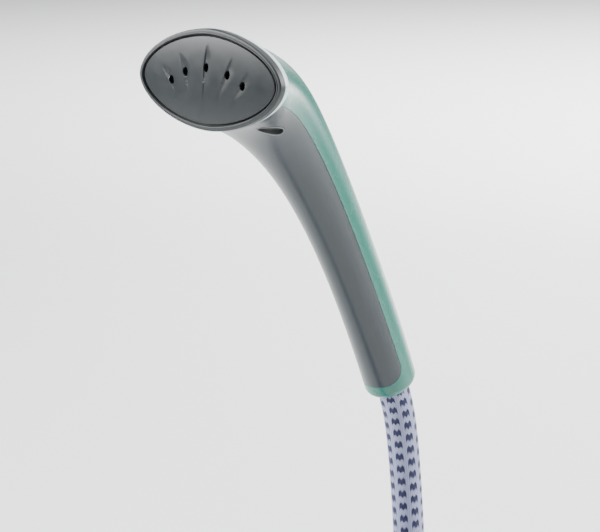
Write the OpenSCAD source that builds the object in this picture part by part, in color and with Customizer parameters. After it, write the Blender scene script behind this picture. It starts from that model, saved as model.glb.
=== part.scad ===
// Hand unit of an upright garment steamer, with its hose.
// Millimetres. The steam plate faces -Y, +Z is up, and X = 0 is the plane of symmetry.
// The origin is the middle of the grip. The head is drawn about the middle of the steam plate
// and then shifted by grip_at, and the hose is drawn about the origin.

/* [Head] */
// Width of the head across the bezel
head_w = 120; // [100:1:145]
// Height of the head across the bezel
head_h = 64; // [54:1:76]
// Shape of the head's outline: 2 is an ellipse, less is more pointed at the sides
head_round = 1.8; // [1.6:0.05:2]
// Width of the bezel's face, from its edge to the seal
bezel_rim = 3.2; // [2.4:0.1:5]
// Depth of the bezel's outer wall
bezel_deep = 5; // [4:0.5:8]
// Depth of the pale collar behind the bezel
collar_deep = 4; // [3:0.5:8]
// Step from the bezel's edge in to the shells' edge
shell_step = 1.5; // [0.8:0.1:2.5]

/* [Steam plate] */
// Thickness of the steam plate
plate_t = 3.4; // [3:0.1:5]
// Gap that the seal fills between the plate and the bezel
seal_w = 1.3; // [0.9:0.1:2]
// Radius of a steam port
port_r = 2.4; // [1.8:0.1:3]
// Distance of the outer ports from the middle, sideways
port_far_x = 30; // [26:0.5:34]
// Distance of the inner ports from the middle, sideways
port_near_x = 17.7; // [14:0.5:20]
// Height of the middle port above the middle of the plate
port_rise = 8; // [6:0.5:10]

/* [Steam chamber] */
// Depth of the chamber behind the plate
chamber_deep = 13; // [11:0.5:16]
// Thickness of the chamber's wall
chamber_wall = 5.5; // [5:0.1:6.5]
// Thickness of the chamber's back
chamber_back = 2.5; // [2:0.1:3.5]
// Thickness of the gasket between the chamber and the plate
gasket_t = 1; // [0.6:0.1:1.5]
// Radius of the bore through the steam inlet and the hose nipple
inlet_r = 2; // [1.5:0.1:2.1]
// Length of the steam inlet
inlet_len = 12; // [9:0.5:16]
// Radius of a chamber screw's shank
screw_r = 1.5; // [1.2:0.1:1.7]

/* [Handle] */
// Distance from the plate back to the middle of the handle's lower end
end_back = 195.5; // [170:0.5:235]
// Drop from the plate's middle to the middle of the handle's lower end
end_drop = 235.5; // [200:0.5:282]
// Lean of the handle's lower end from upright
end_lean = 26.5; // [20:0.5:32]
// Depth of the lower end, front to back
end_depth = 39; // [37:0.5:46]
// Width of the lower end
end_w = 37; // [36:0.5:44]
// Width that the middle of the handle draws in to
grip_w = 31; // [29:0.5:38]
// Width that the neck draws in to behind the head
neck_w = 60; // [50:1:75]
// Thickness of the shells' wall
wall = 2.2; // [1.8:0.1:2.6]
// Gap along the line where the two shells meet
part_gap = 0.2; // [0.1:0.05:0.4]
// Height of the one-piece band below the front shell
band_h = 12.5; // [10:0.5:15]
// Radius of the front shell's lower corners
corner_r = 12; // [6:0.5:14]
// Rounding of the handle's lower edge
end_round = 6; // [3:0.5:6]
// Thickness of the back strip that covers the screws
strip_t = 1.2; // [1:0.1:1.6]
// Half angle of the back strip, seen along the handle
strip_angle = 38; // [32:1:44]
// Half of the angle that the back strip spans at the head
strip_top = 62; // [56:1:64]

/* [Accessory slot] */
// Length of the slot under the side of the neck, along the neck
slot_w = 20; // [16:0.5:22]
// Width of the slot
slot_h = 4.8; // [4.8:0.1:6]
// Sideways place of the slot
slot_side = 23.6; // [21:0.2:25]
// Place of the slot behind the middle of the plate
slot_back = 34.8; // [33:0.2:37]
// Depth of the pocket behind the slot
pocket_deep = 12; // [10:0.5:14]
// Wall of the pocket
pocket_wall = 1; // [0.8:0.1:1.4]

/* [Steam tube] */
// Outer radius of the inner tube
tube_r = 4.5; // [3.8:0.1:4.6]
// Wall of the inner tube
tube_wall = 1.3; // [1:0.1:1.6]
// Sideways shift of the tube in the handle, clear of the screw bosses
tube_side = 5; // [4.6:0.1:5.5]
// Sideways place of the shell screws
boss_side = 7; // [6.5:0.1:7.5]
// Radius of a screw boss
boss_r = 3.2; // [2.8:0.1:3.4]

/* [Hose] */
// Diameter of the hose over its knitted sleeve
hose_d = 23; // [20:0.5:24]
// Gap between the hose and the mouth of the handle
mouth_gap = 0.6; // [0.4:0.1:0.8]
// Thickness of the floor round the mouth
mouth_floor = 3; // [2.5:0.1:4]
// Radius of the coil, at the middle of the hose
coil_r = 125; // [115:1:138]
// Step sideways from one turn of the coil to the next
coil_pitch = 23.5; // [20.5:0.5:26]
// Sideways place of the hose's far end beside the coil
coil_end_side = 53; // [50:0.5:60]

/* [Connector] */
// Length of the tapered cuff on the hose's far end
cuff_len = 34; // [28:1:45]
// Radius of the cuff's wide end
cuff_r = 15.5; // [14:0.5:17]
// Length of the connector body
body_len = 26; // [22:1:34]
// Radius of the connector body
body_r = 13; // [12:0.5:14]
// Radius of the spigot
spigot_r = 7; // [6:0.1:8]
// Length of the spigot beyond the body
spigot_len = 20; // [16:0.5:26]
// Thickness of an o-ring's cord
ring_t = 2; // [1.5:0.1:2.4]
// Outer radius of the turning lock collar
lock_r = 17.5; // [16:0.5:21]
// Length of the lock collar
lock_len = 20; // [16:0.5:22]
// Gap all round between the lock collar and the connector
lock_gap = 0.3; // [0.3:0.05:0.5]

/* [Hidden] */
$fn = 64;

// The grip's middle, from the middle of the plate: [back, up]
grip_at = [145.5, -130.5];

// Depths behind the plate's face
face_y = 0.6;
plate_back = face_y + plate_t;
bezel_front = 2;
bezel_back = bezel_front + bezel_deep;
collar_back = bezel_back + collar_deep;
web_front = plate_back + 0.8;
web_back = web_front + 1.8;
gasket_back = plate_back + gasket_t;
chamber_end = gasket_back + chamber_deep;

// Half sizes of the head's outlines
rim_a = head_w / 2;
rim_b = head_h / 2;
plate_in = bezel_rim + seal_w;
opening_in = plate_in + 4.5;
// The chamber draws in as the neck behind the head narrows
chamber_in = opening_in + max(2.5, (rim_a - neck_w / 2) / 12);
flange_in = plate_in + 3;
port_mid_drop = -1.5;
port_near_z = port_rise * 0.56;
PORTS = [[-port_far_x, port_mid_drop], [-port_near_x, port_near_z], [0, port_rise],
         [port_near_x, port_near_z], [port_far_x, port_mid_drop]];
screw_x = rim_a * 0.62;
screw_z = outline_z(screw_x, rim_a - chamber_in - chamber_wall / 2,
                    rim_b - chamber_in - chamber_wall / 2);

// Points of a head outline of half sizes a and b
function signed_pow(v, e) = sign(v) * pow(abs(v), e);
function outline_z(x, a, b) = b * pow(1 - pow(x / a, head_round), 1 / head_round);
function outline(a, b, steps = 96) = [for (k = [0:steps - 1]) let (t = 360 * k / steps)
    [a * signed_pow(cos(t), 2 / head_round), b * signed_pow(sin(t), 2 / head_round)]];

// Front and back lines of the neck and handle, as curves in the plane X = 0. Each is led by
// points given as shares of the handle's reach and drop, between fixed ends.
lean_dir = [cos(end_lean), sin(end_lean)];
end_mid = [end_back, -end_drop];
function share(p) = [p[0] * end_back, p[1] * end_drop];
FRONT_LEAD = [share([0.11, -0.155]), share([0.38, -0.195]), share([0.63, -0.56])];
BACK_LEAD = [share([0.39, 0.03]), share([0.475, 0.03]), share([0.65, -0.27]), share([0.9, -0.57])];
front_line = concat([[collar_back, -(rim_b - shell_step)]], FRONT_LEAD,
                    [end_mid - lean_dir * end_depth / 2]);
back_line = concat([[collar_back, rim_b - shell_step]], BACK_LEAD,
                   [end_mid + lean_dir * end_depth / 2]);
width_line = [rim_a - shell_step, neck_w / 2, neck_w / 3, grip_w / 2, grip_w / 2 + 0.5, end_w / 2];
seam_line = [-28, -7, 2, -10, -10];
strip_seat = 0.2;
strip_line = [strip_top, strip_top + 6, strip_angle - 12, strip_angle, strip_angle];

function bezier(p, s) = len(p) == 1 ? p[0]
    : bezier([for (k = [0:len(p) - 2]) p[k] * (1 - s) + p[k + 1] * s], s);
function front_at(s) = bezier(front_line, s);
function back_at(s) = bezier(back_line, s);
function mid_at(s) = (front_at(s) + back_at(s)) / 2;
function depth_at(s) = norm(back_at(s) - front_at(s)) / 2;
function across_at(s) = (back_at(s) - front_at(s)) / (2 * depth_at(s));
function turn_at(s) = atan2(across_at(s)[1], across_at(s)[0]);
function half_w_at(s) = bezier(width_line, s);
function power_at(s) = 2 / min(2, head_round + (2 - head_round) * s / 0.35);
// A point of the skin at station s and angle t (90 is the back), set in by a distance
function skin(s, t, inset) = let (
        c = mid_at(s), d = across_at(s), e = power_at(s),
        u = (half_w_at(s) - inset) * signed_pow(cos(t), e),
        v = (depth_at(s) - inset) * signed_pow(sin(t), e))
    [u, c[0] + d[0] * v, c[1] + d[1] * v];

// Length of handle per unit of station, at its lower end
end_rate = norm(4 * (front_line[4] - front_line[3]) + 5 * (back_line[5] - back_line[4])) / 2;

// Stations along the handle: even steps to the lower edge, which is then rounded: [station, inset]
STEPS = 24;
SIDES = 40;
round_s = 1 - end_round / end_rate;
SKIN_RINGS = concat([for (k = [0:STEPS]) [round_s * k / STEPS, 0]],
                    [for (q = [22.5, 45, 67.5, 90]) [round_s + end_round * sin(q) / end_rate,
                                                     end_round * (1 - cos(q))]]);
floor_s = 1 - mouth_floor / end_rate;
function inner_rings(inset) = [for (k = [0:STEPS]) [floor_s * k / STEPS, inset]];
function loop_at(ring) = [for (j = [0:SIDES - 1]) skin(ring[0], 360 * j / SIDES, ring[1])];

// The parting line, seen from the side: even steps, then the quarter turn of the lower corner
band_s = 1 - band_h / end_rate;
corner_s = band_s - corner_r / end_rate;
PARTING = concat([for (k = [0:STEPS - 1]) [corner_s * k / STEPS, 0]],
                 [for (q = [0, 22.5, 45, 67.5, 90]) [corner_s + corner_r * sin(q) / end_rate,
                                                     corner_r * (1 - cos(q))]]);
function side_of(p) = [p[1], p[2]];
function parting_at(st, gap) = let (
        s = st[0] * (1 - gap / end_rate),
        a = bezier(seam_line, st[0]) - (st[1] + gap) / half_w_at(s) * 180 / PI)
    side_of(skin(s, a, 0));
// Everything in front of the parting line, as a bar along X
module front_zone(gap) {
    spare = 5;
    line = [for (st = PARTING) parting_at(st, gap)];
    foot = line[len(line) - 1] - across_at(band_s) * end_depth * 1.5;
    from_head() translate([-rim_a - spare, 0, 0]) rotate([90, 0, 90]) linear_extrude(head_w + 2 * spare)
        polygon(concat([line[0] - [spare, 0]], line, [foot, [collar_back - spare, foot[1]]]));
}

// A closed cup with a wall: rings outside and rings inside, from the open end to the closed one
module cup(outer, inner) {
    n = len(outer[0]);
    m = len(outer);
    q = len(inner);
    base = m * n;
    polyhedron(points = concat([for (r = outer) each r], [for (r = inner) each r]),
        faces = concat(
            [for (f = wall_faces(0, n, m)) each f],
            [for (f = wall_faces(base, n, q)) each [for (g = f) [g[2], g[1], g[0]]]],
            [for (j = [0:n - 1]) let (k = (j + 1) % n) each [[k, j, base + j], [k, base + j, base + k]]],
            [[for (j = [0:n - 1]) (m - 1) * n + j]],
            [[for (j = [n - 1:-1:0]) base + (q - 1) * n + j]]));
}
function wall_faces(base, n, m) = [for (i = [0:m - 2], j = [0:n - 1]) let (
        k = (j + 1) % n, a = base + i * n, b = a + n)
    [[a + j, a + k, b + k], [a + j, b + k, b + j]]];
module handle_cup(inset) {
    from_head() cup([for (r = SKIN_RINGS) loop_at(r)], [for (r = inner_rings(inset)) loop_at(r)]);
}

// A closed solid through rings of points that all have the same count
module through_rings(rings) {
    n = len(rings[0]);
    m = len(rings);
    polyhedron(points = [for (r = rings) each r],
        faces = concat([for (f = wall_faces(0, n, m)) each f], n_caps(n, m)));
}

// Caps of a folded ring, whose second half runs back beside its first, as strips of quads
function n_caps(n, m) = concat(
    [for (j = [0:n / 2 - 2]) each strip_cap(0, j, n)],
    [for (j = [0:n / 2 - 2]) each [for (f = strip_cap((m - 1) * n, j, n)) [f[2], f[1], f[0]]]]);
function strip_cap(base, j, n) = [[base + n - 1 - j, base + n - 2 - j, base + j + 1],
                                  [base + n - 1 - j, base + j + 1, base + j]];

// A closed solid through whole rings, capped flat
module through_loops(rings) {
    n = len(rings[0]);
    m = len(rings);
    polyhedron(points = [for (r = rings) each r],
        faces = concat(
            [[for (j = [n - 1:-1:0]) j]],
            [for (f = wall_faces(0, n, m)) each f],
            [[for (j = [0:n - 1]) (m - 1) * n + j]]));
}

// A round bar swept along a route, with flat ends
function unit(v) = v / norm(v);
function along(route, k) = k == 0 ? unit(route[1] - route[0])
    : k == len(route) - 1 ? unit(route[k] - route[k - 1])
    : unit(unit(route[k] - route[k - 1]) + unit(route[k + 1] - route[k]));
function bar_ring(route, k, r, sides) = let (
        d = along(route, k), side = unit(cross([1, 0, 0], d)), up = cross(side, d))
    [for (j = [0:sides - 1]) route[k] + r * (cos(360 * j / sides) * side + sin(360 * j / sides) * up)];
module bar(route, r, sides = 12) {
    through_loops([for (k = [0:len(route) - 1]) bar_ring(route, k, r, sides)]);
}

module from_head() { translate([0, -grip_at[0], -grip_at[1]]) children(); }
// Extrudes a flat outline of the head from depth y0 to y1 behind the plate's face
module head_layer(y0, y1) {
    from_head() translate([0, y1, 0]) rotate([90, 0, 0]) linear_extrude(y1 - y0) children();
}
// Head outline, set in from the bezel's edge
module head_flat(inset) { polygon(outline(rim_a - inset, rim_b - inset)); }
module head_ring(outer_in, inner_in) {
    difference() {
        head_flat(outer_in);
        head_flat(inner_in);
    }
}
// A rod through the head, along Y
module head_rod(x, z, y0, y1, r) {
    from_head() translate([x, y1, z]) rotate([90, 0, 0]) cylinder(h = y1 - y0, r = r);
}
// Places children at station s: +Y from front to back, +Z up the handle
module at_station(s) {
    from_head() translate([0, mid_at(s)[0], mid_at(s)[1]]) rotate([turn_at(s), 0, 0]) children();
}
// Places children at the lower end: +Z up into the handle
module at_end() {
    from_head() translate([0, end_mid[0], end_mid[1]]) rotate([end_lean, 0, 0]) children();
}
module tube(h, r, hole) {
    difference() {
        cylinder(h = h, r = r);
        translate([0, 0, -1]) cylinder(h = h + 2, r = hole);
    }
}

// ---- Head ----
module steam_plate() {
    color("dimgray") difference() {
        union() {
            head_layer(face_y + 1, plate_back) head_flat(plate_in);
            head_layer(face_y, face_y + 1) head_flat(plate_in + 1);
        }
        for (p = PORTS) head_rod(p[0], p[1], -1, plate_back + 1, port_r);
        for (x = [-1, 1], z = [-1, 1])
            head_rod(x * screw_x, z * screw_z, plate_back - screw_bite, plate_back + 1, screw_r);
    }
}
screw_bite = 2;

module plate_seal() {
    color("black") {
        head_layer(bezel_front, plate_back) head_ring(bezel_rim, plate_in);
        head_layer(plate_back, web_front) head_ring(bezel_rim, opening_in);
    }
}

module head_bezel() {
    color("slategray") {
        head_layer(bezel_front, web_front) head_ring(0, bezel_rim);
        head_layer(web_front, web_back) head_ring(0, opening_in);
        head_layer(web_back, bezel_back) head_ring(0, shell_step + wall);
    }
}

module head_collar() {
    color("whitesmoke") head_layer(bezel_back, collar_back) head_ring(0.6, shell_step + wall + 1.4);
}

module steam_chamber() {
    color("silver") difference() {
        union() {
            head_layer(gasket_back, chamber_end) head_flat(chamber_in);
            head_layer(web_back, web_back + 2) head_flat(flange_in);
            head_rod(0, inlet_z, chamber_end - 1, chamber_end + inlet_len, spout_r);
        }
        head_layer(gasket_back - 1, chamber_end - chamber_back) head_flat(chamber_in + chamber_wall);
        head_rod(0, inlet_z, 0, chamber_end + inlet_len + 1, inlet_r);
        for (x = [-1, 1], z = [-1, 1])
            head_rod(x * screw_x, z * screw_z, 0, chamber_end + 1, screw_r + 0.2);
    }
}

module chamber_gasket() {
    color("firebrick") difference() {
        head_layer(plate_back, gasket_back) head_ring(chamber_in, chamber_in + chamber_wall);
        for (x = [-1, 1], z = [-1, 1])
            head_rod(x * screw_x, z * screw_z, 0, chamber_end + 1, screw_r + 0.2);
    }
}

module splash_baffle() {
    baffle_y = gasket_back + 4;
    floor_y = chamber_end - chamber_back;
    color("gainsboro") {
        from_head() translate([-30, baffle_y, -9]) cube([60, 1, 18]);
        for (x = [-26, 22]) from_head() translate([x, baffle_y + 1, -3]) cube([4, floor_y - baffle_y - 1, 6]);
    }
}

module chamber_screws() {
    color("silver") for (x = [-1, 1], z = [-1, 1]) {
        head_rod(x * screw_x, z * screw_z, plate_back - screw_bite, chamber_end, screw_r);
        head_rod(x * screw_x, z * screw_z, chamber_end, chamber_end + 2, 2.6);
    }
}

// ---- Shells ----
SCREW_STATIONS = [0.48, 0.64, 0.8];
head_seat = 5.2;
head_top = 2;
// Height of the outer back skin over the handle's middle, at the screws' place
function back_over(s, inset) = (depth_at(s) - inset)
    * sqrt(1 - pow((boss_side + boss_r) / (half_w_at(s) - inset), 2));
function boss_top(s) = back_over(s, strip_t) - head_seat;

module front_shell() {
    inner = wall + 0.2;
    color("slategray") difference() {
        union() {
            intersection() {
                handle_cup(inner);
                front_zone(part_gap);
            }
            for (s = SCREW_STATIONS) at_boss(s) translate([0, 0, -boss_foot(s)])
                cylinder(h = boss_foot(s) + boss_top(s) - 2, r = boss_r);
        }
        slot_bar(slot_w + 2 * pocket_wall + 0.4, slot_h + 2 * pocket_wall + 0.4, slot_z - 20, slot_z + 16);
        for (s = SCREW_STATIONS) at_boss(s) translate([0, 0, boss_top(s) - 12])
            cylinder(h = 14, r = screw_r - 0.2);
    }
}
// Places children on a screw's axis: +Z from front to back
module at_boss(s) { at_station(s) translate([boss_side, 0, 0]) rotate([-90, 0, 0]) children(); }
function boss_foot(s) = (depth_at(s) - wall / 2)
    * sqrt(1 - pow((boss_side + boss_r) / (half_w_at(s) - wall / 2), 2));

// The accessory slot opens downwards in the side of the neck; slot_z is the skin's height there
slot_z = -32.6;
slot_turn = -8;
// A round-ended bar up through the slot, from one height to another
module slot_bar(w, h, low, high) {
    from_head() translate([slot_side, slot_back, low]) rotate([0, 0, 90 + slot_turn])
        linear_extrude(high - low) round_bar(w, h);
}
module round_bar(w, h) {
    square([w - h, h], center = true);
    for (x = [-1, 1]) translate([x * (w - h) / 2, 0]) circle(d = h);
}

module rear_shell() {
    inner = wall + strip_t;
    color("mediumaquamarine") difference() {
        union() {
            difference() {
                handle_cup(inner);
                front_zone(0);
                strip_along(-2, strip_t, 0);
            }
            for (s = SCREW_STATIONS) at_boss(s) translate([0, 0, boss_top(s) - 2])
                cylinder(h = head_seat + 1, r = boss_r + 0.6);
        }
        at_end() translate([0, 0, -5]) cylinder(h = 40, r = mouth_r);
        for (s = SCREW_STATIONS) at_boss(s) {
            translate([0, 0, boss_top(s) - 4]) cylinder(h = 14, r = screw_r + 0.2);
            translate([0, 0, boss_top(s)]) cylinder(h = 14, r = 2.8);
        }
    }
}
mouth_r = hose_d / 2 + mouth_gap;

// The strip down the back, between two insets, drawn in at its edges by a gap
module strip_along(outer, inner, gap) {
    steps = 10;
    start = gap > 0 ? 0 : -0.02;
    from_head() through_rings([for (k = [0:STEPS]) let (
            s = start + (band_s - gap / end_rate - start) * k / STEPS,
            h = bezier(strip_line, s) - gap / half_w_at(s) * 180 / PI)
        concat([for (j = [0:steps]) skin(s, 90 - h + 2 * h * j / steps, outer)],
               [for (j = [steps:-1:0]) skin(s, 90 - h + 2 * h * j / steps, inner)])]);
}
module back_strip() { color("mediumaquamarine") strip_along(0, strip_t - strip_seat, part_gap); }

module shell_screws() {
    color("silver") for (s = SCREW_STATIONS) at_boss(s) {
        translate([0, 0, boss_top(s) - 10]) cylinder(h = 11, r = screw_r - 0.2);
        translate([0, 0, boss_top(s)]) cylinder(h = head_top, r = 2.5);
    }
}

// The pocket runs straight up from the skin of the neck, so its mouth follows the skin
module slot_pocket() {
    loops = 36;
    low = slot_z - 12;
    top = slot_z + pocket_deep;
    color("darkslategray") intersection() {
        difference() {
            slot_bar(slot_w + 2 * pocket_wall, slot_h + 2 * pocket_wall, low, top);
            slot_bar(slot_w, slot_h, low - 1, top - pocket_wall);
        }
        from_head() through_loops([for (k = [0:9]) [for (j = [0:loops - 1])
            skin(0.02 + 0.045 * k, 360 * j / loops, pocket_sunk)]]);
    }
}
pocket_sunk = 0.3;

// ---- Steam path ----
// The tube pushes onto the inlet's spout and, at the lower end, onto the nipple
push_on = 8;
spout_r = tube_r - tube_wall - 0.05;
inlet_z = -4;
inlet_tip = [0, chamber_end + inlet_len - push_on, inlet_z];
TUBE_STATIONS = [0.3, 0.36, 0.42, 0.5, 0.58, 0.66, 0.74, 0.79];
function tube_at(s) = [-tube_side * min(1, (s - 0.2) / 0.2), mid_at(s)[0], mid_at(s)[1]];
nipple_top = 34;
function on_end_axis(h) = [0, end_mid[0] - sin(end_lean) * h, end_mid[1] + cos(end_lean) * h];
TUBE_LEAD = concat([inlet_tip, inlet_tip + [0, 8, 0], inlet_tip + [0, 16, -1.5], inlet_tip + [0, 26, -6]],
                   [for (s = TUBE_STATIONS) tube_at(s)],
                   [on_end_axis(nipple_top + push_on + 6), on_end_axis(nipple_top)]);
TUBE_SIDES = 12;
clip_fit = 0.1;
module steam_tube() {
    color("white") from_head() difference() {
        bar(TUBE_LEAD, tube_r, TUBE_SIDES);
        bar(concat([inlet_tip - [0, 1, 0]], [for (k = [1:len(TUBE_LEAD) - 2]) TUBE_LEAD[k]],
                   [on_end_axis(nipple_top - 1)]), (tube_r - tube_wall) / cos(180 / TUBE_SIDES), TUBE_SIDES);
    }
}

module tube_clip(s) {
    reach = depth_at(s) - wall - strip_t - 0.5;
    side_part = (tube_side + 1.5) / (half_w_at(s) - wall - strip_t);
    color("darkslategray") difference() {
        at_station(s) {
            translate([-tube_side, 0, -3]) cylinder(h = 6, r = tube_r + 1.9);
            translate([-tube_side - 1.5, tube_r + 1.2, -3])
                cube([3, reach * sqrt(1 - side_part * side_part) - tube_r - 1.2, 6]);
        }
        from_head() bar(TUBE_LEAD, tube_r + clip_fit, TUBE_SIDES);
    }
}
module tube_clip_upper() { tube_clip(0.58); }
module tube_clip_lower() { tube_clip(0.74); }

module hose_nipple() {
    color("goldenrod") at_end() difference() {
        union() {
            cylinder(h = nipple_top + push_on, r = spout_r);
            translate([0, 0, anchor_top]) cylinder(h = 4, r = 7);
        }
        translate([0, 0, -1]) cylinder(h = nipple_top + push_on + 2, r = inlet_r);
    }
}
anchor_top = 22;

module hose_anchor() {
    color("dimgray") at_end() difference() {
        union() {
            cylinder(h = anchor_top, r = mouth_r - 0.4);
            translate([0, 0, mouth_floor]) cylinder(h = 6, r = min(end_w, end_depth) / 2 - wall - strip_t - 0.6);
        }
        translate([0, 0, -1]) cylinder(h = anchor_top + 2, r = spout_r);
    }
}

// ---- Hose, drawn about the origin ----
// The hose leaves the handle, swings to the vertical and comes down to the coil
HOSE_ROUTE = [[0, 50, -105], [0, 54, -113], [0, 59, -127], [0, 63, -143], [0, 66.5, -163],
              [0, 70, -188], [0, 73, -214], [0, 75.5, -240], [0, 77, -264], [0, 78, -288],
              [0, 78, -312], [0, 78, -335]];
hose_foot = HOSE_ROUTE[len(HOSE_ROUTE) - 1];
coil_mid = hose_foot - [0, coil_r, 0];
hose_r = hose_d / 2;

module steam_hose() { color("lavender") bar(HOSE_ROUTE, hose_r, 12); }

// The coil is one turn and a half in an upright loop, with its last half turn stepping out
// sideways: a ring for the whole turn and a lower half ring beside it
module hose_coil() {
    ring_w = hose_d + coil_pitch;
    side_w = coil_end_side - coil_pitch;
    color("lavender") translate(coil_mid) rotate([0, 90, 0]) {
        translate([0, 0, -hose_r]) rotate_extrude() coil_section(ring_w);
        translate([0, 0, ring_w - hose_r - 1]) rotate([0, 0, -90]) rotate_extrude(angle = 155)
            coil_section(side_w + 1);
    }
}
module coil_section(w) { translate([coil_r - hose_r, 0]) square([hose_d, w]); }

module strap(w, at_y) {
    band = 1.6;
    slack = 0.5;
    across = hose_d + 2 * slack;
    translate([-hose_r - band, at_y - across / 2 - band, coil_mid[2] - 9]) difference() {
        cube([w + 2 * band, across + 2 * band, 18]);
        translate([band, band, -1]) cube([w, across, 20]);
    }
}
module hose_ties() {
    color("dimgray") {
        strap(hose_d + coil_pitch, coil_mid[1] + coil_r);
        strap(hose_d + coil_end_side, coil_mid[1] - coil_r);
    }
}

// ---- Connector, on the hose's far end, pointing up beside the coil ----
end_at = [coil_end_side, coil_mid[1] - coil_r, coil_mid[2]];
module at_far_end() { translate(end_at + [0, 0, tail_h]) children(); }
tail_h = 12;
body_z = cuff_len;
module connector_cuff() {
    color("dimgray") at_far_end() difference() {
        rotate_extrude() polygon([[0, 0], [hose_r + 0.9, 0], [cuff_r, cuff_len * 0.75],
                                  [cuff_r, cuff_len], [0, cuff_len]]);
        translate([0, 0, cuff_len - 6]) cylinder(h = 7, r = plug_r);
        translate([0, 0, -1]) cylinder(h = cuff_len, r = 3);
    }
}
plug_r = 9;

// The body: a plug in the cuff, a shoulder, a barrel that the collar turns on, and the spigot
barrel_r = body_r - 2;
shoulder = 5;
clip_w = 1.6;
spigot_z = body_z + body_len;
module connector_body() {
    color("slategray") at_far_end() difference() {
        union() {
            translate([0, 0, body_z - 6]) cylinder(h = 7, r = plug_r);
            translate([0, 0, body_z]) cylinder(h = shoulder, r = body_r);
            translate([0, 0, body_z + shoulder - 1]) cylinder(h = body_len - shoulder + 1, r = barrel_r);
            translate([0, 0, spigot_z - 1]) cylinder(h = spigot_len + 1, r = spigot_r);
        }
        translate([0, 0, body_z - 10]) cylinder(h = body_len + spigot_len + 20, r = 3.5);
        translate([0, 0, clip_z]) tube(clip_w + 0.1, barrel_r + 1, barrel_r - 1);
        for (k = [0, 1]) translate([0, 0, spigot_z + 4 + 7 * k])
            tube(ring_t, spigot_r + 1, spigot_r - ring_t * 0.6);
    }
}
module spigot_rings() {
    color("black") at_far_end() for (k = [0, 1]) translate([0, 0, spigot_z + 4 + 7 * k])
        tube(ring_t, spigot_r - 0.05, spigot_r - ring_t * 0.6);
}

// The collar turns on the barrel, between the shoulder and the clip
lock_z = body_z + shoulder + lock_gap;
lock_floor = 8;
clip_z = lock_z + lock_floor + lock_gap;
module lock_collar() {
    color("whitesmoke") at_far_end() translate([0, 0, lock_z]) difference() {
        union() {
            cylinder(h = lock_len, r = lock_r - 1);
            for (k = [0:17]) rotate([0, 0, 20 * k]) translate([lock_r - 1.6, -1.2, 2])
                cube([1.6, 2.4, lock_len - 4]);
        }
        translate([0, 0, -1]) cylinder(h = lock_len + 2, r = barrel_r + lock_gap);
        difference() {
            translate([0, 0, lock_floor]) cylinder(h = lock_len, r = lock_r - 3);
            for (k = [0, 1]) rotate([0, 0, 180 * k]) translate([lock_r - 4.5, -2, lock_len - 5])
                cube([3, 4, 3]);
        }
    }
}
module collar_clip() {
    color("silver") at_far_end() translate([0, 0, clip_z]) tube(clip_w, barrel_r + 1.4, barrel_r - 0.9);
}

steam_plate();
plate_seal();
head_bezel();
head_collar();
steam_chamber();
chamber_gasket();
splash_baffle();
chamber_screws();
front_shell();
rear_shell();
back_strip();
shell_screws();
slot_pocket();
steam_tube();
tube_clip_upper();
tube_clip_lower();
hose_nipple();
hose_anchor();
steam_hose();
hose_coil();
hose_ties();
connector_cuff();
connector_body();
spigot_rings();
lock_collar();
collar_clip();
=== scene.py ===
import bpy
import bmesh
import math
from mathutils import Matrix, Vector


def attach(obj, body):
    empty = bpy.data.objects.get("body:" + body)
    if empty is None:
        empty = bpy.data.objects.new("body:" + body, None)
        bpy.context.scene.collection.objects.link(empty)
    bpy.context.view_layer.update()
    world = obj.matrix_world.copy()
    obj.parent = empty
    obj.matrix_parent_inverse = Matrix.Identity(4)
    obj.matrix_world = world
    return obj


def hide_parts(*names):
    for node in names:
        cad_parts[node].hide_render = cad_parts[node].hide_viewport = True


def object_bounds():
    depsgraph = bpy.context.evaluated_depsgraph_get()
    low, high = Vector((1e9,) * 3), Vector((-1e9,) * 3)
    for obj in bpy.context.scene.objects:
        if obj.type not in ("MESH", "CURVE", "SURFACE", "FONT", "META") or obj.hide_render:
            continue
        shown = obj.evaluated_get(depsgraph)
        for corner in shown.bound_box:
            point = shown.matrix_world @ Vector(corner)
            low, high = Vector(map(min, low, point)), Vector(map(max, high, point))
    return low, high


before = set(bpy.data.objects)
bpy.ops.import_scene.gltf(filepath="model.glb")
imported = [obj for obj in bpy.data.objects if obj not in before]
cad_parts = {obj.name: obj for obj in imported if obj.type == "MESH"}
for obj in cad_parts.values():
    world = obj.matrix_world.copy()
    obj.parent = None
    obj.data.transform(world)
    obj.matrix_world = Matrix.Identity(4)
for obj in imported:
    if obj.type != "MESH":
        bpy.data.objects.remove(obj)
cadBox = [[float(c) for c in corner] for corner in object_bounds()]
print("steamer: frame loaded")

mm = 0.001
plateMiddle = Vector((0.0, -145.5, 130.5))   # mm, seen from the middle of the grip


# camera, in front of the plate and to its right
camera = {"place": (0.81382, -1.01586, 0.26365), "azimuth": 40.2116, "elevation": 11.8842,
          "roll": 0.363, "lens": 115.12}


def makeCamera():
    data = bpy.data.cameras.new("camera")
    data.lens, data.sensor_width = camera["lens"], 36.0
    cam = bpy.data.objects.new("camera", data)
    bpy.context.scene.collection.objects.link(cam)
    a, e, r = (math.radians(camera[k]) for k in ("azimuth", "elevation", "roll"))
    back = Vector((math.sin(a) * math.cos(e), -math.cos(a) * math.cos(e), math.sin(e)))
    right = Vector((math.cos(a), math.sin(a), 0.0))
    up = back.cross(right)
    right, up = right * math.cos(r) + up * math.sin(r), up * math.cos(r) - right * math.sin(r)
    turn = Matrix((right, up, back)).transposed().to_4x4()
    cam.matrix_world = Matrix.Translation(camera["place"]) @ turn
    bpy.context.scene.camera = cam


makeCamera()


# materials: each reads Object coordinates, or the piece's own UVs
def startMaterial(name):
    mat = bpy.data.materials.new(name)
    mat.use_nodes = True
    tree = mat.node_tree
    shader = tree.nodes["Principled BSDF"]
    where = tree.nodes.new("ShaderNodeTexCoord")
    return mat, tree, shader, where


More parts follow.
